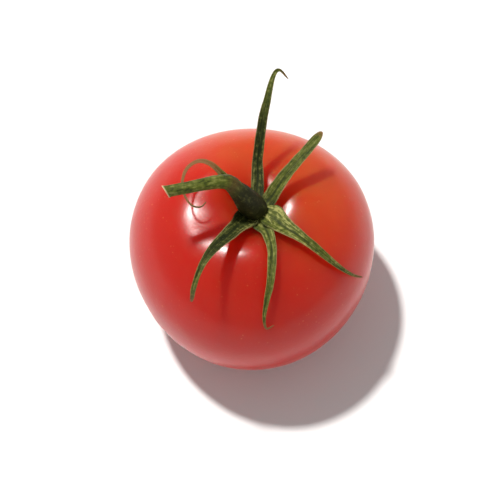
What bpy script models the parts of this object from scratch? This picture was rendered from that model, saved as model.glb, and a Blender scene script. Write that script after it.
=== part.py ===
"""A ripe round tomato standing stalk up, with its calyx of six sepals and a short bent stalk.

Each grown piece is one object: the fruit, the calyx disc, six sepals and the stalk.
Lengths are in metres, +Z is up, and the origin is the centre of the flat spot on which the fruit rests.
"""

import math

import bmesh
import bpy
from mathutils import Quaternion, Vector

MM = 0.001
UP = Vector((0, 0, 1))

# Fruit: an oblate body, fuller at the shoulders than at the blossom end, with a hollow under the calyx.
EQUATOR_RADIUS = 37.2 * MM
EQUATOR_HEIGHT = 29.5 * MM
CROWN_RISE = 29.7 * MM  # equator to the top, before the hollow is pressed in
BASE_DROP = 30.25 * MM  # equator to the blossom end, before it is flattened on the surface it rests on
CROWN_POWER = 2.3  # above 2 the shoulders are squarer than an ellipse
BASE_POWER = 2.1
HOLLOW_DEPTH = 17.6 * MM  # depth that the funnel under the calyx would have with a sharp middle
HOLLOW_SPREAD = 5.0 * MM  # the depth falls to 37% over this distance
HOLLOW_ROUND = 4.0 * MM  # rounds off the middle, which leaves the hollow about 8 mm deep
LEAN_X = -0.06  # slope of the whole crown, which is higher at the front left than at the back right
LEAN_Y = -0.026
LEAN_REACH = 26.0 * MM
LOBE_COUNT = 3
LOBE_SHARE = 0.0155  # the broad lobes round the equator, as a share of the radius
LOBE_AZIMUTH = math.radians(30)
BELLY_SHARE = 0.018  # the fruit bulges a little more towards -Y, as a share of the radius
SHOULDER_WAVES = [
    # waves round the shoulders, their height, azimuth of one crest
    (2, 0.31 * MM, math.radians(110)),
    (3, 0.92 * MM, math.radians(21)),
    (5, 0.26 * MM, math.radians(-3)),
]
SHOULDER_RADIUS = 15.1 * MM
SHOULDER_SPREAD = 7.2 * MM
FRUIT_SEGMENTS = 48
FRUIT_RINGS = 44

# Calyx disc: the small button in the hollow from which the sepals and the stalk grow.
DISC_CENTRE = Vector((1.5, -1.3, 0)) * MM
DISC_RADIUS = 4.7 * MM
DISC_UNDERSIDE = 52.7 * MM  # height of its middle, where it reaches down into the hollow
DISC_RIM_LOW = 55.6 * MM
DISC_RIM_HIGH = 56.7 * MM
DISC_TOP = 57.2 * MM
DISC_CROWN_RADIUS = 2.8 * MM  # the top is almost flat out to here
DISC_CROWN_HEIGHT = 57.1 * MM
DISC_STEPS = 32
WELD_DISTANCE = 0.01 * MM

# Sepals: blades that start just outside the disc. Their points are in millimetres from the origin.
GROWTH_GAP = 0.35 * MM  # touching pieces stay this far apart
ROOT_HEIGHT = 56.9 * MM
BLADE_THICKNESS = 0.9 * MM
TIP_THICKNESS_SHARE = 0.45
BLADE_STEPS = 26
BLADE_COLUMNS = 4
TROUGH_SHARE = 0.28  # rise of a blade's edges above its midrib, as a share of its half width

SEPALS = {
    # name: root azimuth in degrees, points after the root, blade widths in mm from root to tip, tip twist
    "sepal_back": (
        86,
        [(1.6, 9.4, 59.5), (1.7, 13.1, 62.0), (2.3, 17.0, 66.1), (3.1, 21.3, 70.2), (4.4, 25.9, 73.8),
         (6.0, 31.9, 76.2), (7.8, 34.2, 76.3), (10.5, 33.1, 73.2)],
        [3.4, 3.6, 3.1, 2.9, 2.7, 2.2, 1.3, 1.0, 0.8],
        0,
    ),
    "sepal_back_right": (
        37,
        [(8.7, 6.2, 61.2), (12.0, 9.9, 63.1), (15.5, 13.7, 64.3), (18.6, 17.6, 64.8), (20.4, 20.5, 64.5)],
        [3.4, 3.7, 3.5, 3.2, 2.9, 2.0],
        0,
    ),
    "sepal_right": (
        -25,
        [(9.2, -7.1, 58.2), (13.1, -9.9, 58.3), (17.3, -12.7, 57.2), (21.0, -15.0, 55.1),
         (24.0, -16.3, 52.4), (27.1, -16.9, 48.7), (29.7, -16.6, 45.0), (32.5, -15.7, 41.6)],
        [3.6, 5.0, 3.8, 2.8, 2.2, 1.8, 1.4, 1.1, 0.9],
        0,
    ),
    "sepal_front": (
        -76,
        [(4.5, -9.0, 58.1), (5.7, -14.4, 59.0), (5.7, -19.5, 59.0), (5.2, -24.6, 57.3), (4.2, -28.7, 54.4),
         (3.5, -32.2, 50.2), (4.2, -34.1, 46.9), (6.4, -33.2, 47.2)],
        [3.2, 3.4, 2.8, 2.5, 2.1, 1.6, 1.1, 0.9, 0.7],
        0,
    ),
    "sepal_front_left": (
        -122,
        [(-4.3, -8.5, 60.2), (-7.7, -13.4, 63.8), (-10.9, -18.0, 66.3), (-13.5, -22.9, 68.4),
         (-15.2, -26.6, 67.3), (-16.3, -29.0, 64.1), (-17.1, -30.4, 57.7)],
        [4.0, 4.4, 3.9, 3.1, 2.2, 1.6, 1.4, 1.3],
        0,
    ),
    "sepal_back_left": (
        143,
        [(-4.8, 4.4, 59.9), (-8.0, 6.4, 63.2), (-11.7, 8.9, 66.0), (-15.3, 9.7, 66.6),
         (-18.6, 7.6, 66.0), (-19.9, 3.6, 65.0), (-19.1, -0.2, 64.0), (-17.0, -2.8, 63.2),
         (-14.6, -2.9, 62.8), (-13.1, -1.3, 62.6)],
        [3.4, 3.0, 2.3, 1.6, 1.2, 1.1, 0.9, 0.8, 0.7],
        55,
    ),
}

# Stalk: rises from the disc, bends at its joint and ends at a cut. Each point has its own radius, in mm.
STALK_POINTS = [
    (0.4, -1.0, 57.6), (0.4, -1.0, 58.7), (-0.3, -1.1, 60.4), (-1.3, -1.2, 63.1), (-2.5, -1.1, 66.2),
    (-4.4, -0.7, 69.6), (-5.7, -0.2, 71.6), (-7.0, 0.0, 72.7), (-9.0, -0.3, 73.5), (-11.8, -1.1, 74.3),
    (-15.9, -2.6, 75.4), (-24.4, -4.8, 76.2),
]
STALK_RADII = [3.7, 3.7, 3.65, 3.5, 3.1, 2.5, 2.2, 2.05, 1.85, 1.7, 1.6, 1.5]
STALK_STEPS = 33
STALK_BEVEL_STEPS = 4

SKIN_RED = (0.55, 0.035, 0.012, 1)
SEPAL_GREEN = (0.10, 0.17, 0.035, 1)
STALK_GREEN = (0.13, 0.20, 0.045, 1)


def clear_scene():
    for old in list(bpy.data.objects):
        bpy.data.objects.remove(old)


def plain_material(name, colour, roughness):
    material = bpy.data.materials.new(name)
    material.use_nodes = True
    shader = material.node_tree.nodes["Principled BSDF"]
    shader.inputs["Base Color"].default_value = colour
    shader.inputs["Roughness"].default_value = roughness
    shader.inputs["Metallic"].default_value = 0.0
    return material


def add_object(name, data, material, collection):
    piece = bpy.data.objects.new(name, data)
    data.materials.append(material)
    collection.objects.link(piece)
    return piece


def spread(values, share):
    """The value at a share from 0 to 1 along an evenly spaced list."""
    place = share * (len(values) - 1)
    index = min(int(place), len(values) - 2)
    return values[index] + (values[index + 1] - values[index]) * (place - index)


def smooth_path(points, steps):
    """A Catmull-Rom curve through the points, with an even number of places between each pair."""
    ends = [points[0] * 2 - points[1], *points, points[-1] * 2 - points[-2]]
    path = []
    for step in range(steps + 1):
        place = step / steps * (len(points) - 1)
        index = min(int(place), len(points) - 2)
        t = place - index
        a, b, c, d = ends[index : index + 4]
        curving = (2 * a - 5 * b + 4 * c - d) * t**2 + (3 * b - a - 3 * c + d) * t**3
        path.append((2 * b + (c - a) * t + curving) / 2)
    return path


def tangents(path):
    last = len(path) - 1
    return [(path[min(i + 1, last)] - path[max(i - 1, 0)]).normalized() for i in range(len(path))]


def fruit_point(azimuth, latitude):
    """The skin's place at an azimuth, and at a latitude from -90 degrees at the base to 90 at the calyx."""
    above = latitude > 0
    power = CROWN_POWER if above else BASE_POWER
    reach = EQUATOR_RADIUS * max(math.cos(latitude), 0) ** (2 / power)
    rise = abs(math.sin(latitude)) ** (2 / power)
    if above:
        hollow = HOLLOW_DEPTH * math.exp(-math.hypot(reach, HOLLOW_ROUND) / HOLLOW_SPREAD)
        lean = (LEAN_X * math.cos(azimuth) + LEAN_Y * math.sin(azimuth)) * reach
        lean *= math.exp(-((reach / LEAN_REACH) ** 4))
        waves = sum(high * math.cos(count * (azimuth - crest)) for count, high, crest in SHOULDER_WAVES)
        waves *= math.exp(-(((reach - SHOULDER_RADIUS) / SHOULDER_SPREAD) ** 2))
        height = EQUATOR_HEIGHT + CROWN_RISE * rise - hollow + lean + waves
    else:
        height = max(EQUATOR_HEIGHT - BASE_DROP * rise, 0)
    lobes = LOBE_SHARE * math.cos(LOBE_COUNT * (azimuth - LOBE_AZIMUTH))
    reach *= 1 + lobes - BELLY_SHARE * math.sin(azimuth)
    return Vector((reach * math.cos(azimuth), reach * math.sin(azimuth), height))


def make_fruit(material, collection):
    """A sphere whose points are moved to the fruit's own outline."""
    body = bmesh.new()
    bmesh.ops.create_uvsphere(body, u_segments=FRUIT_SEGMENTS, v_segments=FRUIT_RINGS, radius=1)
    for vertex in body.verts:
        latitude = math.asin(max(-1, min(1, vertex.co.z)))
        vertex.co = fruit_point(math.atan2(vertex.co.y, vertex.co.x), latitude)
    mesh = bpy.data.meshes.new("fruit")
    body.to_mesh(mesh)
    body.free()
    mesh.shade_smooth()
    return add_object("fruit", mesh, material, collection)


def make_disc(material, collection):
    """A turned button: its profile runs from its top to its underside and is spun by a Screw modifier."""
    profile = [
        (0, DISC_TOP),
        (DISC_CROWN_RADIUS, DISC_CROWN_HEIGHT),
        (DISC_RADIUS, DISC_RIM_HIGH),
        (DISC_RADIUS, DISC_RIM_LOW),
        (0, DISC_UNDERSIDE),
    ]
    mesh = bpy.data.meshes.new("calyx_disc")
    edges = [(i, i + 1) for i in range(len(profile) - 1)]
    mesh.from_pydata([(reach, 0, height) for reach, height in profile], edges, [])
    disc = add_object("calyx_disc", mesh, material, collection)
    disc.location = DISC_CENTRE
    screw = disc.modifiers.new("turn", "SCREW")
    screw.steps = screw.render_steps = DISC_STEPS
    screw.use_merge_vertices = True
    screw.merge_threshold = WELD_DISTANCE
    return disc


def make_sepal(name, azimuth, points, widths, twist, material, collection):
    """A grid bent along a smooth path into a troughed, tapering blade, then given its thickness."""
    outwards = Vector((math.cos(azimuth), math.sin(azimuth), 0))
    root = DISC_CENTRE + outwards * (DISC_RADIUS + GROWTH_GAP) + UP * ROOT_HEIGHT
    path = smooth_path([root, *(Vector(p) * MM for p in points)], BLADE_STEPS)
    along = tangents(path)
    side = along[0].cross(UP).normalized()
    frames = []
    for i, tangent in enumerate(along):
        if i:
            side = along[i - 1].rotation_difference(tangent) @ side
        turned = Quaternion(tangent, twist * i / BLADE_STEPS) @ side
        frames.append((turned, turned.cross(tangent)))

    blade = bmesh.new()
    bmesh.ops.create_grid(blade, x_segments=BLADE_STEPS, y_segments=BLADE_COLUMNS, size=1)
    thickness = blade.verts.layers.deform.verify()
    for vertex in blade.verts:
        share = (vertex.co.x + 1) / 2
        across = -vertex.co.y
        step = round(share * BLADE_STEPS)
        half = spread(widths, share) * MM / 2
        sideways, face = frames[step]
        vertex.co = path[step] + sideways * half * across + face * half * TROUGH_SHARE * across**2
        vertex[thickness][0] = 1 - share * (1 - TIP_THICKNESS_SHARE)
    mesh = bpy.data.meshes.new(name)
    blade.to_mesh(mesh)
    blade.free()
    mesh.shade_smooth()
    sepal = add_object(name, mesh, material, collection)
    sepal.vertex_groups.new(name="thickness")
    solid = sepal.modifiers.new("thickness", "SOLIDIFY")
    solid.thickness = BLADE_THICKNESS
    solid.offset = 0
    solid.vertex_group = "thickness"
    return sepal


def make_stalk(material, collection):
    """A bevelled curve whose radius follows the stalk from its swollen foot to the cut."""
    path = smooth_path([Vector(p) * MM for p in STALK_POINTS], STALK_STEPS)
    curve = bpy.data.curves.new("stalk", "CURVE")
    curve.dimensions = "3D"
    curve.bevel_depth = MM
    curve.bevel_resolution = STALK_BEVEL_STEPS
    curve.use_fill_caps = True
    line = curve.splines.new("POLY")
    line.points.add(STALK_STEPS)
    for i, (point, place) in enumerate(zip(line.points, path)):
        point.co = (*place, 1)
        point.radius = spread(STALK_RADII, i / STALK_STEPS)
    return add_object("stalk", curve, material, collection)


def main():
    clear_scene()
    collection = bpy.data.collections.new("tomato")
    bpy.context.scene.collection.children.link(collection)
    skin = plain_material("skin", SKIN_RED, 0.25)
    leaf = plain_material("sepal_leaf", SEPAL_GREEN, 0.6)
    bark = plain_material("stalk_skin", STALK_GREEN, 0.55)
    make_fruit(skin, collection)
    make_disc(leaf, collection)
    for name, (azimuth, points, widths, twist) in SEPALS.items():
        make_sepal(name, math.radians(azimuth), points, widths, math.radians(twist), leaf, collection)
    make_stalk(bark, collection)


main()
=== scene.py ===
# %% [markdown]
# # A ripe tomato with its calyx and stalk
# This lesson builds the look of a tomato around a plain model that already has the right sizes. The
# fruit is one glossy berry. On top sit a small green disc, six leafy sepals that curl as they dry, and
# a short bent stalk. Everything is in metres, +Z is up, and the fruit rests on its flattened spot at
# the origin. The plain model is loaded first, and its box is kept, so that the finished look can be
# measured against it.

# %% Load the frame
import math

import bmesh
import bpy
from mathutils import Matrix, Vector


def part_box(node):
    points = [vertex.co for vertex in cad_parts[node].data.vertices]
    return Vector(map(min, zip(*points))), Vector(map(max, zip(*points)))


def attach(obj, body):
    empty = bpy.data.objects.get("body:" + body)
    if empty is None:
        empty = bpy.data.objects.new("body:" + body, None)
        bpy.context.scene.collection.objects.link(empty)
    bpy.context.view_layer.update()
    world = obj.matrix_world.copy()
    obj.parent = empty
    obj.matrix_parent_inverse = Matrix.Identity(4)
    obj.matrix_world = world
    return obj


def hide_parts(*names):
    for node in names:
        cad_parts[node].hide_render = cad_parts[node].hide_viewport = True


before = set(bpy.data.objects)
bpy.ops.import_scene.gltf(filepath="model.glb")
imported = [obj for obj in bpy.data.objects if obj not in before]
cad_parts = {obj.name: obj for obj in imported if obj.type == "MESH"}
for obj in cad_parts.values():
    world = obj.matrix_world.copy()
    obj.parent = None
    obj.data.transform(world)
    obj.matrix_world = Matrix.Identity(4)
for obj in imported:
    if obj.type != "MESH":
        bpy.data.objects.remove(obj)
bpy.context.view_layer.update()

MM = 0.001
BODY = "root"
print("nodes:", sorted(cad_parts))

# %% [markdown]
# ## Writing rules as formulas
# Geometry Nodes and material nodes both do arithmetic with Math nodes. A formula of ten steps needs ten
# nodes and twelve links, which is hard to read as code. Two small classes let Python's own + - * / add
# those nodes instead: Number for one value and Arrow for three. The rest of the lesson is then written
# as plain formulas.

# %% Numbers and arrows in a node tree
def fill(tree, place, value):
    """Puts a value into a node's input: a link if it comes from another node, or else a fixed setting."""
    if hasattr(value, "socket"):
        tree.links.new(value.socket, place)
    elif isinstance(value, bpy.types.NodeSocket):
        tree.links.new(value, place)
    else:
        place.default_value = value


def add(tree, kind, inputs=None, **settings):
    """Adds a node with its settings and inputs, and returns it."""
    node = tree.nodes.new(kind)
    for key, value in settings.items():
        setattr(node, key, value)
    for key, value in (inputs or {}).items():
        fill(tree, node.inputs[key], value)
    return node


class Number:
    """One value in a node tree. Arithmetic on it adds Math nodes."""

    def __init__(self, tree, socket):
        self.tree, self.socket = tree, socket

    def math(self, operation, *others):
        inputs = dict(enumerate((self, *others)))
        return Number(self.tree, add(self.tree, "ShaderNodeMath", inputs, operation=operation).outputs[0])

    def __add__(self, other):
        return self.math("ADD", other)

    def __sub__(self, other):
        return self.math("SUBTRACT", other)

    def __mul__(self, other):
        return self.math("MULTIPLY", other)

    def __truediv__(self, other):
        return self.math("DIVIDE", other)

    def __pow__(self, other):
        return self.math("POWER", other)

    def __rsub__(self, other):
        return self * -1 + other

    __radd__ = __add__
    __rmul__ = __mul__

    def bell(self, centre, width):
        """A smooth hump: 1 at the centre, and near 0 beyond twice the width."""
        offset = (self - centre) / width
        return (offset * offset * -1).math("EXPONENT")

    def step(self, low, high):
        """Rises smoothly from 0 at low to 1 at high."""
        inputs = {"Value": self, "From Min": low, "From Max": high}
        node = add(self.tree, "ShaderNodeMapRange", inputs, interpolation_type="SMOOTHSTEP")
        return Number(self.tree, node.outputs[0])


class Arrow:
    """Three values in a node tree."""

    def __init__(self, tree, socket):
        self.tree, self.socket = tree, socket

    def math(self, operation, other):
        node = add(self.tree, "ShaderNodeVectorMath", {0: self, 1: other}, operation=operation)
        return Arrow(self.tree, node.outputs[0])

    def __add__(self, other):
        return self.math("ADD", other)

    def __mul__(self, number):
        node = add(self.tree, "ShaderNodeVectorMath", {0: self, "Scale": number}, operation="SCALE")
        return Arrow(self.tree, node.outputs[0])

    def parts(self):
        node = add(self.tree, "ShaderNodeSeparateXYZ", {0: self})
        return [Number(self.tree, socket) for socket in node.outputs]


def arrow(tree, x, y, z):
    return Arrow(tree, add(tree, "ShaderNodeCombineXYZ", {0: x, 1: y, 2: z}).outputs[0])


def noise(tree, place, scale, detail=2.0, roughness=0.5):
    """Cloudy noise from about 0 to 1, the same each time, because it depends only on the place."""
    inputs = {"Vector": place, "Scale": scale, "Detail": detail, "Roughness": roughness}
    return Number(tree, add(tree, "ShaderNodeTexNoise", inputs).outputs[0])


# %% [markdown]
# ## Running a Geometry Nodes tree
# A tree is a recipe with named inputs. It is put on an object as a modifier, its inputs are set by
# their socket identifiers, and Blender evaluates it. The result is copied out as a plain mesh, so the
# finished piece has no modifier left on it, and its place is in its mesh.

# %% Making and running a tree
def new_tree(name, sizes):
    """A Geometry Nodes tree with a number input for each size: the tree, its inputs and its start."""
    tree = bpy.data.node_groups.new(name, "GeometryNodeTree")
    tree.interface.new_socket("Geometry", in_out="INPUT", socket_type="NodeSocketGeometry")
    tree.interface.new_socket("Material", in_out="INPUT", socket_type="NodeSocketMaterial")
    for label, value in sizes.items():
        socket = tree.interface.new_socket(label, in_out="INPUT", socket_type="NodeSocketFloat")
        socket.default_value = value
    tree.interface.new_socket("Geometry", in_out="OUTPUT", socket_type="NodeSocketGeometry")
    start = tree.nodes.new("NodeGroupInput")
    return tree, {label: Number(tree, start.outputs[label]) for label in sizes}, start


def end_tree(tree, start, geometry):
    """Ends a tree: smooth shading, real geometry in place of instances, and the material."""
    shaded = add(tree, "GeometryNodeSetShadeSmooth", {"Geometry": geometry, "Shade Smooth": True})
    real = add(tree, "GeometryNodeRealizeInstances", {"Geometry": shaded.outputs[0]})
    inputs = {"Geometry": real.outputs[0], "Material": start.outputs["Material"]}
    painted = add(tree, "GeometryNodeSetMaterial", inputs)
    tree.links.new(painted.outputs[0], tree.nodes.new("NodeGroupOutput").inputs[0])


def run_tree(name, data, tree, material, **sizes):
    """Runs a tree on a mesh or a curve, and returns the result as a plain mesh object."""
    holder = bpy.data.objects.new(name + "_start", data)
    bpy.context.scene.collection.objects.link(holder)
    modifier = holder.modifiers.new("grow", "NODES")
    modifier.node_group = tree
    values = {label.replace("_", " ").capitalize(): value for label, value in sizes.items()}
    values["Material"] = material
    for item in tree.interface.items_tree:
        if item.in_out == "INPUT" and item.name in values:
            modifier[item.identifier] = values[item.name]
    graph = bpy.context.evaluated_depsgraph_get()
    grown = holder.evaluated_get(graph)
    mesh = bpy.data.meshes.new_from_object(grown, preserve_all_data_layers=True, depsgraph=graph)
    bpy.data.objects.remove(holder)
    return place_piece(name, mesh, material)


def place_piece(name, mesh, material):
    """Shows a mesh as a piece of the scene with one material."""
    mesh.name = name
    mesh.materials.clear()
    mesh.materials.append(material)
    piece = bpy.data.objects.new(name, mesh)
    bpy.context.scene.collection.objects.link(piece)
    return piece


def settle(piece, slot, *nodes):
    """Ties a finished piece to the body and to the plain solids it stands for. The slot is not used."""
    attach(piece, BODY)
    if nodes:
        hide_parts(*nodes)
    size = [round(side / MM, 1) for side in piece.dimensions]
    print(piece.name, "has", len(piece.data.polygons), "faces and measures", size, "mm")
    for node in nodes:
        low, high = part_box(node)
        print("  its plain solid measures", [round(side / MM, 1) for side in high - low], "mm")


# %% [markdown]
# ## Camera
# The tomato is seen from high above its front, about 65 degrees up, from half a metre away. A long lens
# keeps its outline close to its true one.

# %% The camera
VIEW_ELEVATION = math.radians(65.5)
VIEW_DISTANCE = 0.525
LENS = 124.09
SENSOR = 36.0
EQUATOR_HEIGHT = 29.5 * MM
AIM_RIGHT = -0.55 * MM
AIM_UP = -1.28 * MM

back = Vector((0, -math.cos(VIEW_ELEVATION), math.sin(VIEW_ELEVATION)))
up = Vector((0, math.sin(VIEW_ELEVATION), math.cos(VIEW_ELEVATION)))
right = Vector((1, 0, 0))
lens = bpy.data.cameras.new("camera")
lens.lens = LENS
lens.sensor_width = SENSOR
camera = bpy.data.objects.new("camera", lens)
camera.matrix_world = Matrix((right, up, back)).transposed().to_4x4()
camera.location = Vector((0, 0, EQUATOR_HEIGHT)) + back * VIEW_DISTANCE + right * AIM_RIGHT + up * AIM_UP
bpy.context.scene.collection.objects.link(camera)
bpy.context.scene.camera = camera
print("camera at", [round(c, 3) for c in camera.location])

# %% [markdown]
# ## Light and floor
# One key light stands high behind the left shoulder and throws a firm shadow to the front right. A
# second lamp in the same place lights only glossy reflections, so the highlights on the skin can be
# made soft and strong without making the fruit brighter. A white room, brighter near the horizon, fills
# the shadows and gives the skin its pale rim. The floor is plain and pale, and it isn't part of the
# tomato.

# %% The light and the floor
KEY_FROM = Vector((-0.285, 0.272, 0.919))
KEY_STRENGTH = 3.2
KEY_ANGLE = math.radians(4.5)
KEY_WHITE = (1.0, 0.985, 0.96)
GLOSS_STRENGTH = 4.5
GLOSS_ANGLE = math.radians(6.0)
ROOM_BRIGHT = 0.50
ROOM_DIM = 0.30
ROOM_WHITE = (1.0, 0.99, 0.985, 1)
DIM_ABOVE = 0.75
BRIGHT_BELOW = 0.35
FLOOR_PALE = (0.92, 0.92, 0.92, 1)
FLOOR_SIZE = 3.0
FLOOR_DROP = 0.02 * MM

key = bpy.data.lights.new("key", "SUN")
key.energy = KEY_STRENGTH
key.angle = KEY_ANGLE
key.color = KEY_WHITE
key_lamp = bpy.data.objects.new("key", key)
key_lamp.rotation_euler = KEY_FROM.to_track_quat("Z", "Y").to_euler()
key_lamp.visible_glossy = False
bpy.context.scene.collection.objects.link(key_lamp)
gloss = key.copy()
gloss.energy = GLOSS_STRENGTH
gloss.angle = GLOSS_ANGLE
gloss_lamp = bpy.data.objects.new("gloss", gloss)
gloss_lamp.rotation_euler = key_lamp.rotation_euler
gloss_lamp.visible_diffuse = False
bpy.context.scene.collection.objects.link(gloss_lamp)

room = bpy.data.worlds.new("room")
room.use_nodes = True
tree = room.node_tree
height = Arrow(tree, tree.nodes.new("ShaderNodeTexCoord").outputs["Generated"]).parts()[2]
glow = height.step(DIM_ABOVE, BRIGHT_BELOW) * (ROOM_BRIGHT - ROOM_DIM) + ROOM_DIM
fill(tree, tree.nodes["Background"].inputs["Strength"], glow)
tree.nodes["Background"].inputs["Color"].default_value = ROOM_WHITE
bpy.context.scene.world = room
bpy.context.scene.view_settings.view_transform = "Standard"

floor_mesh = bpy.data.meshes.new("floor")
side = FLOOR_SIZE / 2
corners = [(x * side, y * side, -FLOOR_DROP) for x, y in ((-1, -1), (1, -1), (1, 1), (-1, 1))]
floor_mesh.from_pydata(corners, [], [(0, 1, 2, 3)])
floor_paint = bpy.data.materials.new("floor_paint")
floor_paint.use_nodes = True
paint = floor_paint.node_tree.nodes["Principled BSDF"].inputs
paint["Base Color"].default_value = FLOOR_PALE
paint["Roughness"].default_value = 0.9
paint["Specular IOR Level"].default_value = 0.0
floor = place_piece("floor", floor_mesh, floor_paint)

# %% [markdown]
# ## The skin of the fruit
# Ripe skin is a thin, waxy, see-through film over red flesh. Its colour drifts from orange red on top
# and at the back to a deeper red at the front, with tiny pale flecks, and the left side is also made a
# deeper red. One flat red with a gloss would look like a plastic ball. Here cloudy noise and the place
# on the fruit mix three reds, and a very fine bump breaks up the highlights. Subsurface scattering
# carries red light a long way and green and blue light hardly at all, which keeps the shadows on the
# fruit red. A thin coat and a sheen stand for the film of wax: they leave the middle alone and whiten
# the rim. All the patterns read the object's own coordinates, so they stay fixed to the fruit.

# %% Skin material
def new_material(name, **settings):
    """A Principled material. Returns it with its tree, its shader and its Object coordinates."""
    material = bpy.data.materials.new(name)
    material.use_nodes = True
    tree = material.node_tree
    shader = tree.nodes["Principled BSDF"]
    for label, value in settings.items():
        shader.inputs[label.replace("_", " ").title().replace("Ior", "IOR")].default_value = value
    return material, tree, shader, Arrow(tree, tree.nodes.new("ShaderNodeTexCoord").outputs["Object"])


def mix(tree, share, first, second):
    """A colour that goes from the first to the second as the share goes from 0 to 1."""
    node = tree.nodes.new("ShaderNodeMix")
    node.data_type = "RGBA"
    fill(tree, node.inputs["Factor"], share)
    for label, colour in (("A", first), ("B", second)):
        socket = next(s for s in node.inputs if s.name == label and s.type == "RGBA")
        fill(tree, socket, colour)
    return next(s for s in node.outputs if s.type == "RGBA")


def bump(tree, shader, height, distance):
    """Raises and lowers the shading by a height from 0 to 1, over a distance in metres."""
    node = add(tree, "ShaderNodeBump", {"Height": height, "Distance": distance})
    tree.links.new(node.outputs[0], shader.inputs["Normal"])


ORANGE_RED = (0.55, 0.074, 0.010, 1)
RIPE_RED = (0.50, 0.020, 0.006, 1)
DEEP_RED = (0.46, 0.012, 0.005, 1)
FLECK = (0.66, 0.20, 0.06, 1)
SCAR_BROWN = (0.16, 0.07, 0.025, 1)
WARM_FROM = 20.0 * MM  # the skin turns warmer with height, from here
WARM_TO = 58.0 * MM  # to here
WARMER_BACK = 12.0  # per metre towards +Y
WARMER_RIGHT = 4.0
COOL_LEFT = -30.0 * MM  # the left side is coolest beyond this x
CLOUD_SCALE = 45.0
FLECK_SCALE = 620.0
FLECK_PATCH_SCALE = 160.0
RIPPLE_SCALE = 260.0
GRAIN_SCALE = 1400.0
RIPPLE_HEIGHT = 0.09 * MM
SMOOTHEST = 0.27
CLOUDY_ROUGHNESS = 0.06

skin, tree, shader, place = new_material(
    "skin",
    subsurface_weight=1.0,
    subsurface_scale=0.030,
    subsurface_radius=(1.0, 0.035, 0.015),
    specular_ior_level=0.16,
    coat_weight=0.30,
    coat_roughness=0.24,
    sheen_weight=1.0,
    sheen_roughness=0.10,
    sheen_tint=(1.0, 0.96, 0.86, 1),
)
x, y, z = place.parts()
clouds = noise(tree, place, CLOUD_SCALE, 3.0)
warmth = z.step(WARM_FROM, WARM_TO) * 0.50 + y * WARMER_BACK + x * WARMER_RIGHT + (clouds - 0.5) * 0.7
warmth = warmth - x.step(0.0, COOL_LEFT) * 0.35
colour = mix(tree, warmth.step(0.25, 0.95), RIPE_RED, ORANGE_RED)
colour = mix(tree, warmth.step(0.45, -0.25), colour, DEEP_RED)
cells = add(tree, "ShaderNodeTexVoronoi", {"Vector": place, "Scale": FLECK_SCALE})
flecks = Number(tree, cells.outputs["Distance"]).step(0.20, 0.08)
flecks = flecks * noise(tree, place, FLECK_PATCH_SCALE).step(0.45, 0.7)
colour = mix(tree, flecks * 0.35, colour, FLECK)
reach = (x * x + y * y) ** 0.5
scar = reach.step(2.2 * MM, 1.0 * MM) * z.step(3.0 * MM, 0.5 * MM)
colour = mix(tree, scar, colour, SCAR_BROWN)
tree.links.new(colour, shader.inputs["Base Color"])
fill(tree, shader.inputs["Roughness"], clouds * CLOUDY_ROUGHNESS + SMOOTHEST)
ripple = noise(tree, place, RIPPLE_SCALE, 3.0, 0.55) * 0.7 + noise(tree, place, GRAIN_SCALE, 1.0) * 0.3
bump(tree, shader, ripple, RIPPLE_HEIGHT)
print("skin material has", len(tree.nodes), "nodes")

# %% [markdown]
# ## The fruit
# A tomato's outline follows a rule. From the side it is an ellipse with squarer shoulders, pressed in
# where the calyx grows. From above it is a circle with three weak lobes and a belly on one side. On the
# way round, the shoulders rise and fall in a few soft waves, and the whole crown leans a little. It
# could be sculpted by hand, or turned from one profile and then pushed about. A Geometry Nodes tree is
# the better choice: it takes a plain ball and moves each point by the rule, and every size of the rule
# stays a named input. The width comes from the plain solid.

# %% Fruit tree
fruit_low, fruit_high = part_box("fruit")
FRUIT_SIZES = {
    "Equator radius": (fruit_high.x - fruit_low.x) / 2,
    "Equator height": EQUATOR_HEIGHT,
    "Crown rise": 29.7 * MM,
    "Base drop": 30.25 * MM,
    "Crown power": 2.3,
    "Base power": 2.1,
    "Hollow depth": 17.6 * MM,
    "Hollow spread": 5.0 * MM,
    "Hollow round": 4.0 * MM,
    "Lean right": -0.06,
    "Lean back": -0.026,
    "Lean reach": 26.0 * MM,
    "Lobe share": 0.0155,
    "Belly share": 0.018,
    "Oval height": 0.31 * MM,
    "Shoulder height": 0.92 * MM,
    "Rib height": 0.26 * MM,
    "Lump height": 0.22 * MM,
}
BALL_SEGMENTS = 192
BALL_RINGS = 160
LOBE_COUNT = 3
LOBE_AZIMUTH = math.radians(30)
# waves round the shoulders: how many, the input with their height, azimuth of one crest
WAVES = [
    (2, "Oval height", math.radians(110)),
    (3, "Shoulder height", math.radians(21)),
    (5, "Rib height", math.radians(-3)),
]
SHOULDER_RADIUS = 15.1 * MM
SHOULDER_SPREAD = 7.2 * MM
SCAR_DEPTH = 0.5 * MM
SCAR_RADIUS = 1.4 * MM
LUMP_SCALE = 75.0
LUMPS_FROM = 2.0 * MM  # no lumps on the flat spot that it rests on
LUMPS_FULL = 8.0 * MM

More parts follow.
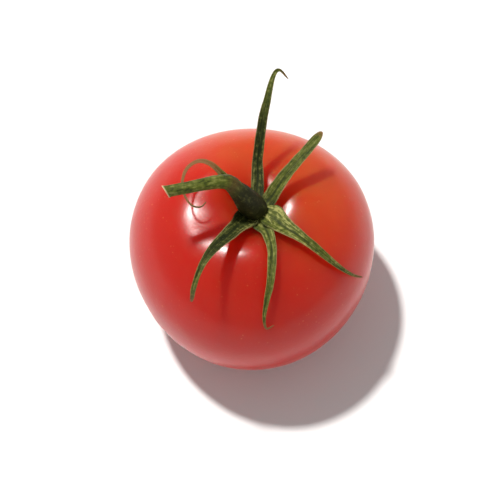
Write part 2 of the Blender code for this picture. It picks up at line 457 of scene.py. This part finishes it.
tree, size, start = new_tree("fruit_body", FRUIT_SIZES)
ball_inputs = {"Segments": BALL_SEGMENTS, "Rings": BALL_RINGS, "Radius": 1.0}
ball = add(tree, "GeometryNodeMeshUVSphere", ball_inputs)
x, y, z = Arrow(tree, tree.nodes.new("GeometryNodeInputPosition").outputs[0]).parts()
azimuth = y.math("ARCTAN2", x)
above = z.math("GREATER_THAN", 0.0)
power = size["Crown power"] * above + size["Base power"] * (1 - above)
reach = size["Equator radius"] * ((1 - z * z).math("MAXIMUM", 0.0) ** (power ** -1))
rise = z.math("ABSOLUTE") ** (power ** -1 * 2)
waves = sum((azimuth * count - crest * count).math("COSINE") * size[label] for count, label, crest in WAVES)
waves = waves * reach.bell(SHOULDER_RADIUS, SHOULDER_SPREAD)
blunt = (reach * reach + size["Hollow round"] * size["Hollow round"]) ** 0.5
hollow = size["Hollow depth"] * (blunt / size["Hollow spread"] * -1).math("EXPONENT")
slope = azimuth.math("COSINE") * size["Lean right"] + azimuth.math("SINE") * size["Lean back"]
lean = slope * reach * ((reach / size["Lean reach"]) ** 4 * -1).math("EXPONENT")
crown = size["Crown rise"] * rise - hollow + lean + waves
height = size["Equator height"] + crown * above - size["Base drop"] * rise * (1 - above)
height = height.math("MAXIMUM", 0.0) + reach.bell(0.0, SCAR_RADIUS) * SCAR_DEPTH * (1 - above)
lobes = (azimuth * LOBE_COUNT - LOBE_AZIMUTH * LOBE_COUNT).math("COSINE") * size["Lobe share"] + 1
lobes = lobes - azimuth.math("SINE") * size["Belly share"]
spot = arrow(tree, reach * lobes * azimuth.math("COSINE"), reach * lobes * azimuth.math("SINE"), height)
shaped = add(tree, "GeometryNodeSetPosition", {"Geometry": ball.outputs[0], "Position": spot})
skin_place = Arrow(tree, tree.nodes.new("GeometryNodeInputPosition").outputs[0])
outwards = Arrow(tree, tree.nodes.new("GeometryNodeInputNormal").outputs[0])
lump = (noise(tree, skin_place, LUMP_SCALE, 1.0) - 0.5) * size["Lump height"]
lump = lump * skin_place.parts()[2].step(LUMPS_FROM, LUMPS_FULL)
lumpy = add(tree, "GeometryNodeSetPosition", {"Geometry": shaped.outputs[0], "Offset": outwards * lump})
end_tree(tree, start, lumpy.outputs[0])

fruit = run_tree("fruit_body", bpy.data.meshes.new("empty"), tree, skin)
settle(fruit, "skin", "fruit")

# %% [markdown]
# ## Green finishes
# Sepals and stalk are matte green with lengthwise veins, paler edges and brown dry tips. Painted shade
# darkens the foot of the stalk and the inner part of some sepals. The pattern has to run along each
# curling blade, so plain object coordinates won't do. Each blade carries its own attribute instead: how
# far along it a point is, how far across, and which face it is on. The material reads that.

# %% Leaf and stalk materials
DEEP_SHADE_GREEN = (0.010, 0.015, 0.003, 1)
LEAF_DARK = (0.022, 0.032, 0.005, 1)
LEAF_MID = (0.090, 0.110, 0.012, 1)
LEAF_PALE = (0.380, 0.370, 0.110, 1)
EDGE_TAN = (0.300, 0.230, 0.090, 1)
JOINT_BROWN = (0.075, 0.040, 0.012, 1)
# The next colour is painted shade for the foot of the stalk.
FOOT_SHADE = (0.013, 0.012, 0.002, 1)
DRY_BROWN = (0.270, 0.130, 0.050, 1)
CUT_TAN = (0.62, 0.50, 0.28, 1)
LANE_ALONG = 4.0  # the streaks are this many noise cells long from root to tip
LANE_ACROSS = 4.5
BLOTCH_SCALE = 900.0
DEEP_SHADE_FADE = 0.30  # share of the length over which the painted shade and deep green at the root fade out
DRY_FADE = 0.12
LEAF_BUMP = 0.25 * MM


def leaf_material(name, deep_shade_until, dry_from, pale_share):
    """Green with streaks along the blade, painted shade up to one share of its length and dry from another.
    """
    material, tree, shader, place = new_material(name, roughness=0.62, specular_ior_level=0.15)
    blade = add(tree, "ShaderNodeAttribute", attribute_name="blade")
    along, across, face = Arrow(tree, blade.outputs["Vector"]).parts()
    lane = arrow(tree, along * LANE_ALONG, across * LANE_ACROSS, face * 0.7)
    streaks = noise(tree, lane, 1.0, 5.0, 0.65)
    blotches = noise(tree, place, BLOTCH_SCALE, 2.0)
    shade = streaks * 0.7 + blotches * 0.3
    colour = mix(tree, shade.step(0.38, 0.54), LEAF_DARK, LEAF_MID)
    colour = mix(tree, shade.step(0.51, 0.66) * pale_share, colour, LEAF_PALE)
    groove = across.bell(0.0, 0.16) * along.step(0.02, 0.15) * along.step(0.85, 0.6)
    colour = mix(tree, groove * 0.7, colour, LEAF_DARK)
    # Painted shade: the blade darkens towards its root, up to the share given for it.
    deep_shade = along.step(deep_shade_until + DEEP_SHADE_FADE, deep_shade_until) * (1 - shade.step(0.5, 0.65) * 0.6)
    colour = mix(tree, deep_shade * 0.8, colour, DEEP_SHADE_GREEN)
    edge = across.math("ABSOLUTE").step(0.78, 0.98) * along.step(0.06, 0.22)
    colour = mix(tree, edge * 0.7, colour, EDGE_TAN)
    dry = (along + (blotches - 0.5) * DRY_FADE).step(dry_from, dry_from + DRY_FADE)
    colour = mix(tree, dry * 0.85, colour, DRY_BROWN)
    tree.links.new(colour, shader.inputs["Base Color"])
    bump(tree, shader, shade, LEAF_BUMP)
    return material


leaf = leaf_material("leaf_green", deep_shade_until=-DEEP_SHADE_FADE, dry_from=0.84, pale_share=0.9)
leaf_light = leaf_material("leaf_light", deep_shade_until=-DEEP_SHADE_FADE, dry_from=0.84, pale_share=1.3)
leaf_dull = leaf_material("leaf_dull", deep_shade_until=0.0, dry_from=0.90, pale_share=0.45)
# Painted shade over the inner half: it stands in for shade on the back sepal, and on the front-left sepal
# it is a deeper green.
leaf_deep_shade = leaf_material("leaf_deep_shade", deep_shade_until=0.50, dry_from=0.88, pale_share=0.8)
tendril = leaf_material("leaf_tendril", deep_shade_until=-DEEP_SHADE_FADE, dry_from=0.30, pale_share=0.5)
FINISHES = {
    "sepal_back": leaf_deep_shade,
    "sepal_back_right": leaf_dull,
    "sepal_right": leaf_light,
    "sepal_front": leaf,
    "sepal_front_left": leaf_deep_shade,
    "sepal_back_left": tendril,
}
print("leaf material has", len(leaf.node_tree.nodes), "nodes")

# %% [markdown]
# ## The sepals
# A sepal is a narrow leaf blade. Its middle is sunk like a trough, a few veins run along it, and it
# tapers to a thin tip. Each one could be modelled as its own strip of faces, but all six follow the
# same rule along different paths. So one tree makes them: it takes a closed tube, reads a place, a
# direction and a width from the path for each point, and presses the tube into a thin veined blade.

# %% Paths of the sepals
PATH_STEPS = 64

# name: (points in mm from the disc outwards, full widths in mm, twist at the tip in degrees)
SEPALS = {
    "sepal_back": (
        [(1.6, 0.8, 57.1), (1.6, 3.8, 57.4), (1.6, 9.4, 59.5), (1.7, 13.1, 62.0), (2.3, 17.0, 66.1),
         (3.1, 21.3, 70.2), (4.4, 25.9, 73.8), (6.0, 31.9, 76.2), (7.8, 34.2, 76.3), (10.5, 33.1, 73.2)],
        [3.6, 3.9, 3.6, 3.1, 2.9, 2.7, 2.2, 1.4, 1.1, 0.9],
        0,
    ),
    "sepal_back_right": (
        [(2.9, -0.2, 57.1), (5.0, 1.5, 57.8), (8.7, 6.2, 61.2), (12.0, 9.9, 63.1), (15.5, 13.7, 64.3),
         (18.6, 17.6, 64.8), (20.4, 20.5, 64.5)],
        [4.4, 4.7, 4.0, 3.6, 3.2, 2.9, 1.8],
        0,
    ),
    "sepal_right": (
        [(3.2, -2.1, 57.2), (5.9, -4.1, 57.8), (9.2, -7.0, 58.2), (13.1, -9.8, 58.3),
         (17.3, -12.6, 57.2), (21.0, -15.0, 55.1), (24.0, -16.3, 52.4), (27.1, -16.9, 48.7),
         (29.7, -16.6, 45.0), (32.5, -15.7, 41.6)],
        [5.4, 7.4, 5.4, 3.8, 2.8, 2.2, 1.7, 1.2, 0.9, 0.8],
        0,
    ),
    "sepal_front": (
        [(1.9, -3.2, 57.2), (2.9, -6.0, 57.6), (4.5, -9.0, 58.1), (5.7, -14.4, 59.0),
         (5.7, -19.5, 59.0), (5.2, -24.6, 57.3), (4.2, -28.7, 54.4), (3.5, -32.2, 50.2),
         (4.2, -34.1, 46.9), (6.4, -33.2, 47.2)],
        [5.2, 6.2, 3.9, 2.8, 2.6, 2.2, 1.6, 1.0, 0.7, 0.5],
        0,
    ),
    "sepal_front_left": (
        [(0.0, -2.6, 57.1), (-1.7, -4.8, 57.9), (-4.4, -8.4, 60.2), (-7.7, -13.4, 63.8),
         (-10.9, -18.0, 66.3), (-13.5, -22.9, 68.4), (-15.2, -26.6, 67.3), (-16.3, -29.0, 64.1),
         (-17.1, -30.4, 57.7)],
        [5.8, 7.0, 5.0, 4.1, 3.0, 2.1, 1.6, 1.5, 1.2],
        0,
    ),
    "sepal_back_left": (
        [(0.0, -0.2, 57.1), (-2.3, 1.5, 57.6), (-4.8, 4.4, 59.9), (-8.0, 6.4, 63.2),
         (-11.7, 8.9, 66.0), (-15.3, 9.7, 66.6), (-18.6, 7.6, 66.0), (-19.9, 3.6, 65.0),
         (-19.1, -0.2, 64.0), (-17.0, -2.8, 63.2), (-14.6, -2.9, 62.8), (-13.1, -1.3, 62.6)],
        [3.6, 3.8, 3.0, 2.4, 1.8, 1.4, 1.2, 1.0, 0.8, 0.65, 0.55, 0.5],
        55,
    ),
}


def smooth_path(points, steps):
    """A Catmull-Rom curve through the points. The points may be vectors or single values."""
    ends = [points[0] * 2 - points[1], *points, points[-1] * 2 - points[-2]]
    path = []
    for step in range(steps + 1):
        spot = step / steps * (len(points) - 1)
        index = min(int(spot), len(points) - 2)
        t = spot - index
        a, b, c, d = ends[index : index + 4]
        curving = (2 * a - 5 * b + 4 * c - d) * t**2 + (3 * b - a - 3 * c + d) * t**3
        path.append(0.5 * (2 * b + (c - a) * t + curving))
    return path


def path_curve(name, points, widths, twist=0.0):
    """A curve through points in millimetres that carries half the width as its radius."""
    curve = bpy.data.curves.new(name, "CURVE")
    curve.dimensions = "3D"
    curve.twist_mode = "MINIMUM"
    line = curve.splines.new("POLY")
    line.points.add(PATH_STEPS)
    places = smooth_path([Vector(p) * MM for p in points], PATH_STEPS)
    halves = smooth_path([w * MM / 2 for w in widths], PATH_STEPS)
    for i, (point, spot, half) in enumerate(zip(line.points, places, halves)):
        point.co = (*spot, 1)
        point.radius = half
        point.tilt = twist * i / PATH_STEPS
    return curve


# %% [markdown]
# The tree samples that path. For every point of the tube it knows `along` from root to tip, `across`
# from one edge to the other, and `face`, which is positive on top. Four small terms are added up: the
# trough, the thickness, the veins with the sunken midrib, and a slow flutter that keeps the edges from
# looking cut with scissors.

# %% Sepal tree
def sample_path(tree, start, along):
    """The place, direction, side direction and radius of the path at a share of its length."""
    radius = tree.nodes.new("GeometryNodeInputRadius").outputs[0]
    inputs = {"Curves": start.outputs["Geometry"], "Value": radius, "Factor": along}
    settings = {"mode": "FACTOR", "data_type": "FLOAT", "use_all_curves": True}
    node = add(tree, "GeometryNodeSampleCurve", inputs, **settings)
    spot, forwards, side = (Arrow(tree, node.outputs[label]) for label in ("Position", "Tangent", "Normal"))
    return spot, forwards, side, Number(tree, node.outputs["Value"])


SEPAL_SIZES = {
    "Thickness": 0.85 * MM,
    "Trough": 0.30,
    "Vein height": 0.07 * MM,
    "Midrib depth": 0.24 * MM,
    "Flutter": 0.30 * MM,
    "Edge wave": 0.14,
    "Seed": 0.0,
}
TUBE_SIDES = 56
VEIN_COUNT = 5
TIP_BLUNTNESS = 30
TIP_CLOSING = 0.96


def make_tube(tree, side_segments, fill_segments):
    """A closed tube of radius 1 that stands from -1 to 1, ready to be bent along a path."""
    inputs = {
        "Vertices": TUBE_SIDES,
        "Side Segments": side_segments,
        "Fill Segments": fill_segments,
        "Radius": 1.0,
        "Depth": 2.0,
    }
    return add(tree, "GeometryNodeMeshCylinder", inputs, fill_type="TRIANGLE_FAN").outputs[0]


def bend_tube(tree, tube, mark, place):
    """Stores a mark on each point of a tube as the attribute blade, then moves the point to its place."""
    inputs = {"Geometry": tube, "Name": "blade", "Value": mark}
    settings = {"data_type": "FLOAT_VECTOR", "domain": "POINT"}
    marked = add(tree, "GeometryNodeStoreNamedAttribute", inputs, **settings)
    inputs = {"Geometry": marked.outputs[0], "Position": place}
    return add(tree, "GeometryNodeSetPosition", inputs).outputs[0]


tree, size, start = new_tree("sepal_blade", SEPAL_SIZES)
tube = make_tube(tree, side_segments=120, fill_segments=1)
across, face, z = Arrow(tree, tree.nodes.new("GeometryNodeInputPosition").outputs[0]).parts()
along = (z + 1) / 2
spot, forwards, side, half = sample_path(tree, start, along)
topwards = side.math("CROSS_PRODUCT", forwards)
closing = (1 - along ** TIP_BLUNTNESS * TIP_CLOSING) ** 0.5
which_edge = across.math("SIGN")
wave = noise(tree, arrow(tree, along * 9, which_edge * 4, size["Seed"]), 1.0) - 0.5
half = half * closing * (1 + wave * 2 * size["Edge wave"])
top = face.math("MAXIMUM", 0.0)
under = face.math("MINIMUM", 0.0)
trough = across * across * half * size["Trough"]
thick = face * size["Thickness"] / 2 * (1 - along * 0.6) * closing
veins = (across * math.pi * VEIN_COUNT).math("COSINE") * size["Vein height"] * top * (1 - along)
midrib = across.bell(0.0, 0.24) * size["Midrib depth"] * (under - top) * (1 - along * 0.7)
sway = noise(tree, arrow(tree, along * 7, across * 1.5, size["Seed"] + 20), 1.0) - 0.5
flutter = sway * size["Flutter"] * along.step(0.05, 0.3)
rise = trough + thick + veins + midrib + flutter
blade_place = spot + side * (across * half) + topwards * rise
end_tree(tree, start, bend_tube(tree, tube, arrow(tree, along, across, face), blade_place))
sepal_tree = tree

sepals = []
for number, (name, (points, widths, twist)) in enumerate(SEPALS.items()):
    curve = path_curve(name, points, widths, math.radians(twist))
    sepal = run_tree(name + "_blade", curve, sepal_tree, FINISHES[name], seed=number * 3.7)
    settle(sepal, "sepal_leaf", name)
    sepals.append(sepal)

# %% [markdown]
# ## The calyx disc
# Where sepals and stalk meet is a small domed disc. The sepals grow out of it, so its top has six low
# ridges that run into them, and a thin beaded ring goes round the foot of the stalk. It is a shape
# turned about its middle, so rings of points round an axis are enough, with the ridges added by a
# formula. Its place, width and height come from the plain solid, and its underside reaches down into
# the hollow of the fruit.

# %% Calyx disc
disc_low, disc_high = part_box("calyx_disc")
DISC_CENTRE = (disc_low + disc_high) / 2 * Vector((1, 1, 0))
DISC_OVERHANG = 0.3 * MM  # the finished disc is this much wider all round
DISC_RADIUS = (disc_high.x - disc_low.x) / 2 + DISC_OVERHANG
DISC_TOP = disc_high.z
DISC_UNDERSIDE = disc_low.z
DISC_RIM_LOW = 55.6 * MM
DISC_SEGMENTS = 96
TOP_RINGS = 16
UNDER_RINGS = 4
UNDER_SHARE = 0.97  # the underside is this much narrower
DOME_DROP = 0.9 * MM
RIDGE_HEIGHT = 0.35 * MM
RIDGE_WIDTH = 0.30  # radians
RING_RADIUS = 4.1 * MM
RING_HEIGHT = 0.30 * MM
RING_WIDTH = 0.35 * MM
RING_BEADS = 9
ROOT_AZIMUTHS = [math.radians(a) for a in (86, 37, -25, -76, -122, 143)]
MOTTLE_SCALE = 700.0
MOTTLE_BUMP = 0.3 * MM


def hump(distance, width):
    """The same hump as a number: 1 at distance 0, and near 0 beyond twice the width."""
    return math.exp(-((distance / width) ** 2))


def disc_top(share, azimuth):
    """The height of the top: a low dome, a ridge towards each sepal and a beaded ring round the stalk."""
    turns = [(azimuth - root + math.pi) % math.tau - math.pi for root in ROOT_AZIMUTHS]
    ridge = sum(hump(turn, RIDGE_WIDTH) for turn in turns) * share
    beads = 0.8 + 0.2 * math.sin(azimuth * RING_BEADS)
    ring = hump(share * DISC_RADIUS - RING_RADIUS, RING_WIDTH) * beads
    return DISC_TOP - DOME_DROP * share**3 + RIDGE_HEIGHT * ridge + RING_HEIGHT * ring


def disc_under(share, azimuth):
    """The height of the underside: a bowl, the same all the way round."""
    return DISC_UNDERSIDE + (DISC_RIM_LOW - DISC_UNDERSIDE) * share**2


def disc_ring(body, share, narrowing, height):
    """A ring of points at a share of the disc's radius. The height is a function of share and azimuth."""
    ring = []
    for i in range(DISC_SEGMENTS):
        azimuth = math.tau * i / DISC_SEGMENTS
        outwards = Vector((math.cos(azimuth), math.sin(azimuth), 0))
        place = DISC_CENTRE + outwards * share * DISC_RADIUS * narrowing
        ring.append(body.verts.new(place + Vector((0, 0, height(share, azimuth)))))
    return ring


body = bmesh.new()
rings = [disc_ring(body, i / TOP_RINGS, 1.0, disc_top) for i in range(1, TOP_RINGS + 1)]
rings += [disc_ring(body, i / UNDER_RINGS, UNDER_SHARE, disc_under) for i in range(UNDER_RINGS, 0, -1)]
for ring, after in zip(rings, rings[1:]):
    for i in range(DISC_SEGMENTS):
        j = (i + 1) % DISC_SEGMENTS
        body.faces.new((ring[i], after[i], after[j], ring[j]))
for ring, height in ((rings[0], DISC_TOP), (rings[-1], DISC_UNDERSIDE)):
    tip = body.verts.new(DISC_CENTRE + Vector((0, 0, height)))
    for i in range(DISC_SEGMENTS):
        body.faces.new((ring[i], ring[(i + 1) % DISC_SEGMENTS], tip))
bmesh.ops.recalc_face_normals(body, faces=body.faces)
disc_mesh = bpy.data.meshes.new("calyx_disc_body")
body.to_mesh(disc_mesh)
body.free()
disc_mesh.shade_smooth()

disc_green, tree, shader, place = new_material("disc_green", roughness=0.65, specular_ior_level=0.3)
mottle = noise(tree, place, MOTTLE_SCALE, 3.0, 0.6)
colour = mix(tree, mottle.step(0.35, 0.55), LEAF_DARK, LEAF_MID)
colour = mix(tree, mottle.step(0.52, 0.72), colour, LEAF_PALE)
tree.links.new(colour, shader.inputs["Base Color"])
bump(tree, shader, mottle, MOTTLE_BUMP)
disc = place_piece("calyx_disc_body", disc_mesh, disc_green)
settle(disc, "sepal_leaf", "calyx_disc")

# %% [markdown]
# ## The stalk
# The stalk is a firm green tube. It is widest at its foot, bends sharply at a swollen joint, and ends
# where it was cut, with a pale face and a slightly spread rim. A bevelled curve would give an even
# pipe. The same kind of tree as the sepals' gives ribs, a crease at the joint and a slanted cut,
# because each point can be moved by a rule.

# %% Stalk tree
STALK_POINTS = [
    (0.4, -1.0, 56.9), (0.4, -1.0, 58.6), (-0.3, -1.1, 60.4), (-1.3, -1.2, 63.1), (-2.5, -1.1, 66.2),
    (-4.4, -0.7, 69.6), (-5.7, -0.2, 71.6), (-7.0, 0.0, 72.7), (-9.0, -0.3, 73.5), (-11.8, -1.1, 74.3),
    (-15.9, -2.6, 75.4), (-24.2, -4.8, 76.2),
]
# full widths in mm, from the foot to the cut
STALK_WIDTHS = [8.0, 7.8, 7.5, 7.0, 6.2, 5.0, 4.4, 4.2, 3.9, 3.7, 3.4, 3.3]
JOINT_ALONG = 0.47
JOINT_LENGTH = 0.045
CREASE_LENGTH = 0.010
RIB_COUNT = 5
RIB_TWIST = 4  # radians from foot to cut
BARK_SCALE = 800.0

stalk_green, tree, shader, place = new_material("stalk_green", roughness=0.58, specular_ior_level=0.15)
blade = add(tree, "ShaderNodeAttribute", attribute_name="blade")
along, turn, cap = Arrow(tree, blade.outputs["Vector"]).parts()
lane = arrow(tree, along * 9.0, turn * 2.2, 0.0)
shade = noise(tree, lane, 1.0, 4.0, 0.6) * 0.6 + noise(tree, place, BARK_SCALE, 2.0) * 0.4
colour = mix(tree, shade.step(0.34, 0.54), LEAF_DARK, LEAF_MID)
colour = mix(tree, shade.step(0.50, 0.70) * 0.5, colour, LEAF_PALE)
# Painted shade: the lower half of the stalk darkens to near black, for the shade under its arm and between
# the sepals.
colour = mix(tree, along.step(0.50, 0.34) * (1 - shade.step(0.5, 0.7) * 0.3) * 0.92, colour, FOOT_SHADE)
colour = mix(tree, along.bell(0.46, 0.045) * 0.75, colour, JOINT_BROWN)
rim = along.step(0.985, 0.998)
colour = mix(tree, rim, colour, CUT_TAN)
pith = cap.step(0.55, 0.30) * along.step(0.995, 0.999)
colour = mix(tree, pith * 0.6, colour, LEAF_PALE)
tree.links.new(colour, shader.inputs["Base Color"])
bump(tree, shader, shade, LEAF_BUMP)

STALK_SIZES = {
    "Rib share": 0.035,
    "Joint share": 0.07,
    "Crease share": 0.06,
    "Rim share": 0.12,
    "Cut slant": 0.30,
    "Pith depth": 0.25 * MM,
    "Unevenness": 0.12,
}
tree, size, start = new_tree("stalk_body", STALK_SIZES)
tube = make_tube(tree, side_segments=180, fill_segments=8)
x, y, z = Arrow(tree, tree.nodes.new("GeometryNodeInputPosition").outputs[0]).parts()
along = (z + 1) / 2
inside = (x * x + y * y) ** 0.5
azimuth = y.math("ARCTAN2", x)
spot, forwards, side, half = sample_path(tree, start, along)
topwards = side.math("CROSS_PRODUCT", forwards)
ribs = (azimuth * RIB_COUNT + along * RIB_TWIST).math("COSINE") * size["Rib share"]
joint = along.bell(JOINT_ALONG, JOINT_LENGTH) * size["Joint share"]
crease = along.bell(JOINT_ALONG, CREASE_LENGTH) * size["Crease share"]
flare = along.step(0.965, 1.0) * size["Rim share"]
around = arrow(tree, along * 14, azimuth.math("COSINE"), azimuth.math("SINE"))
uneven = (noise(tree, around, 1.0) - 0.5) * size["Unevenness"]
half = half * (1 + ribs + joint - crease + flare + uneven)
offset = side * (x * half) + topwards * (y * half)
_, offset_y, offset_z = offset.parts()
slant = (offset_y + offset_z) * size["Cut slant"] * along.step(0.94, 1.0)
pith = (1 - inside).step(0.15, 0.5) * size["Pith depth"] * along.step(0.999, 1.0)
stalk_place = spot + offset + forwards * (slant - pith)
end_tree(tree, start, bend_tube(tree, tube, arrow(tree, along, azimuth, inside), stalk_place))
stalk = run_tree("stalk_body", path_curve("stalk", STALK_POINTS, STALK_WIDTHS), tree, stalk_green)
settle(stalk, "stalk_skin", "stalk")

# %% [markdown]
# ## Fine hairs
# Tomato plants are covered in fine pale hairs. They give the green parts a soft, light edge that a
# smooth surface can't have. There are thousands, so Geometry Nodes scatter them: points on the faces, a
# tiny cone on each point with its own length and lean, all made real at the end. They stand closest
# along the edges of the sepals and get shorter towards the tips.

# %% Hair tree
HAIR_SIZES = {
    "Density": 2.5e6,
    "Edge density": 12.0e6,
    "Hair length": 0.55 * MM,
    "Hair radius": 0.025 * MM,
    "Lean": 0.5,
    "Shortening": 0.75,
}
HAIR_TAN = (0.40, 0.38, 0.14, 1)
HAIR_PALE = (0.62, 0.56, 0.28, 1)
HAIR_TIP_RADIUS = 0.004 * MM
STALK_HAIR_DENSITY = 0.7e6
SCATTER_SEED, LEAN_SEED, LENGTH_SEED = 11, 12, 13
hair_finish, tree, shader, place = new_material("hair_pale", roughness=0.6, specular_ior_level=0.3)
colour = mix(tree, noise(tree, place, 300.0), HAIR_TAN, HAIR_PALE)
tree.links.new(colour, shader.inputs["Base Color"])

tree, size, start = new_tree("fine_hairs", HAIR_SIZES)
blade = add(tree, "GeometryNodeInputNamedAttribute", {"Name": "blade"}, data_type="FLOAT_VECTOR")
along, across, face = Arrow(tree, blade.outputs["Attribute"]).parts()
edge = across.math("ABSOLUTE").bell(1.0, 0.12)
scatter_inputs = {
    "Mesh": start.outputs["Geometry"],
    "Density": size["Density"] + size["Edge density"] * edge,
    "Seed": SCATTER_SEED,
}
scatter = add(tree, "GeometryNodeDistributePointsOnFaces", scatter_inputs, distribute_method="RANDOM")
lean_inputs = {"Min": (-1.0, -1.0, -1.0), "Max": (1.0, 1.0, 1.0), "Seed": LEAN_SEED}
lean = Arrow(tree, add(tree, "FunctionNodeRandomValue", lean_inputs, data_type="FLOAT_VECTOR").outputs[0])
heading = Arrow(tree, scatter.outputs["Normal"]) + lean * size["Lean"]
turn = add(tree, "FunctionNodeAlignRotationToVector", {"Vector": heading}, axis="Z")
long_node = add(tree, "FunctionNodeRandomValue", {"Seed": LENGTH_SEED}, data_type="FLOAT")
long_socket = next(s for s in long_node.outputs if s.type == "VALUE" and s.enabled)
long_share = Number(tree, long_socket) * 0.8 + 0.4
cone_inputs = {
    "Vertices": 3,
    "Side Segments": 1,
    "Fill Segments": 1,
    "Radius Top": HAIR_TIP_RADIUS,
    "Radius Bottom": size["Hair radius"],
    "Depth": size["Hair length"],
}
cone = add(tree, "GeometryNodeMeshCone", cone_inputs, fill_type="NGON")
stretch = arrow(tree, 1.0, 1.0, long_share * (1 - along * size["Shortening"]))
hair_inputs = {
    "Points": scatter.outputs["Points"],
    "Instance": cone.outputs[0],
    "Rotation": turn.outputs[0],
    "Scale": stretch,
}
hairs = add(tree, "GeometryNodeInstanceOnPoints", hair_inputs)
end_tree(tree, start, hairs.outputs[0])
hair_tree = tree


def joined(name, pieces):
    """One mesh with the faces and the blade attribute of several pieces."""
    body = bmesh.new()
    for piece in pieces:
        body.from_mesh(piece.data)
    mesh = bpy.data.meshes.new(name)
    body.to_mesh(mesh)
    body.free()
    return mesh


sepal_hairs = run_tree("sepal_hairs", joined("sepal_skin", sepals), hair_tree, hair_finish)
settle(sepal_hairs, "sepal_leaf")
densities = {"density": STALK_HAIR_DENSITY, "edge_density": 0.0}
stalk_hairs = run_tree("stalk_hairs", joined("stalk_bark", [stalk]), hair_tree, hair_finish, **densities)
settle(stalk_hairs, "stalk_skin")
